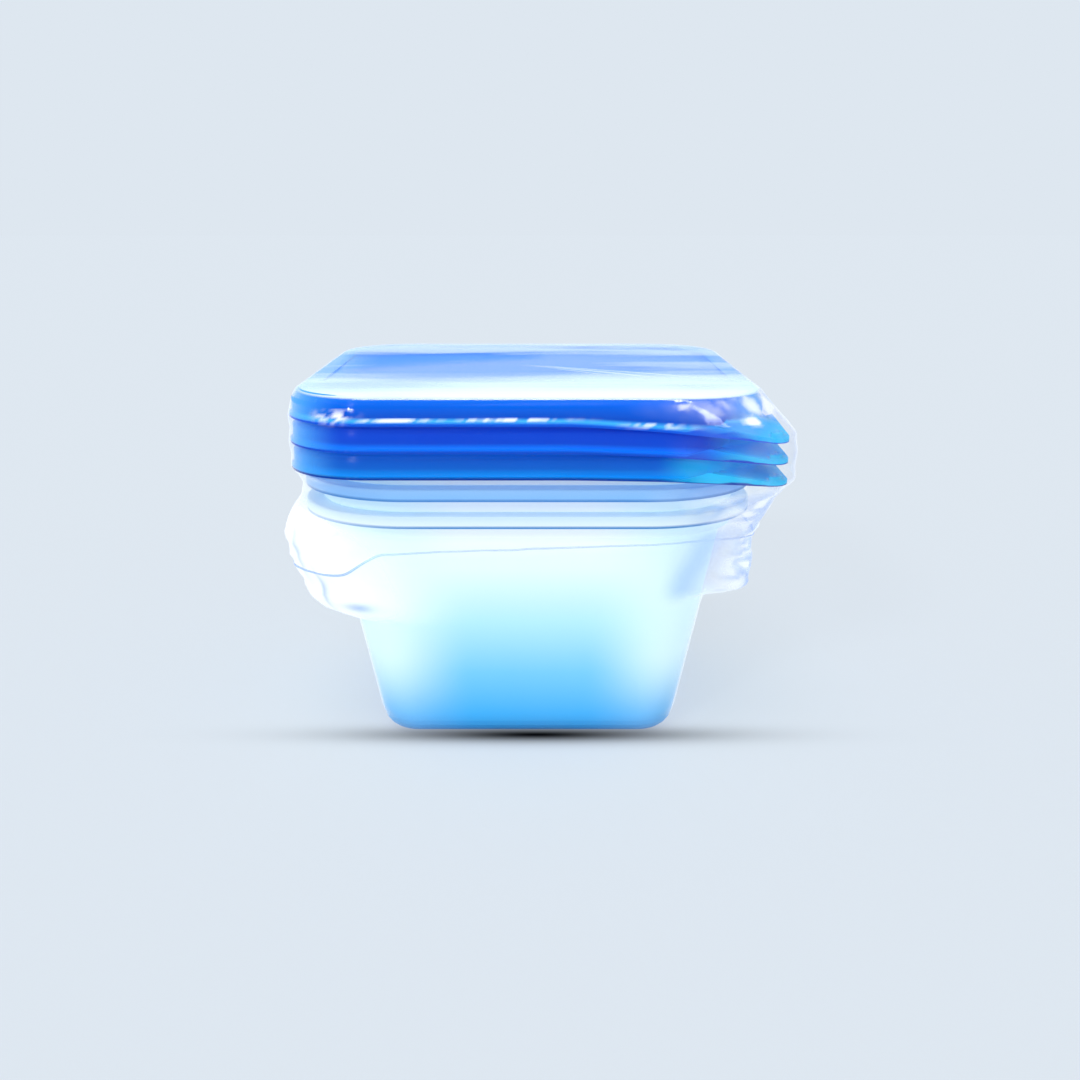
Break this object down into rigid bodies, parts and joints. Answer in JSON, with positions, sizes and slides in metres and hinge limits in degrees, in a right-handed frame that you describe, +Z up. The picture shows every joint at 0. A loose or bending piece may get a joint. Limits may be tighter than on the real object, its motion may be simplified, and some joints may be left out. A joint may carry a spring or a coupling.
{
  "type": "breast milk storage freezer box set",
  "caption": "Nested square-section freezer tubs with stacked snap lids that have corner pull tabs, sealed in clear shrink film.",
  "frame": {"origin": "centre of the tubs' square base, on the surface that the pack stands on", "axes": "+Z up, +X to the right and +Y to the back as the picture shows it, with the lids' pull tabs at +X, -Y"},
  "size_m": [0.1153, 0.1153, 0.088],
  "materials": {
    "tub": "translucent, satin, cooler towards the base",
    "lid": "translucent blue, glossy",
    "film": "clear, glossy, wrinkled at the corners"
  },
  "bodies": {
    "outer_tub": {"container_outer": "tub", "film_lower": "film"},
    "middle_tub": {"container_middle": "tub"},
    "inner_tub": {"container_inner": "tub"},
    "bottom_lid": {"lid_bottom": "lid"},
    "middle_lid": {"lid_middle": "lid"},
    "top_lid": {"lid_top": "lid"},
    "upper_film": {"film_upper": "film"}
  },
  "joints": [
    {"name": "middle_tub_lift", "type": "slide", "parent": "outer_tub", "child": "middle_tub", "axis": [0, 0, 1], "range_m": [0, 0.06]},
    {"name": "inner_tub_lift", "type": "slide", "parent": "middle_tub", "child": "inner_tub", "axis": [0, 0, 1], "range_m": [0, 0.06]},
    {"name": "bottom_lid_lift", "type": "slide", "parent": "inner_tub", "child": "bottom_lid", "axis": [0, 0, 1], "range_m": [0, 0.025]},
    {"name": "middle_lid_lift", "type": "slide", "parent": "bottom_lid", "child": "middle_lid", "axis": [0, 0, 1], "range_m": [0, 0.02]},
    {"name": "top_lid_lift", "type": "slide", "parent": "middle_lid", "child": "top_lid", "axis": [0, 0, 1], "range_m": [0, 0.02]},
    {"name": "upper_film_lift", "type": "slide", "parent": "top_lid", "child": "upper_film", "axis": [0, 0, 1], "range_m": [0, 0.05]}
  ]
}
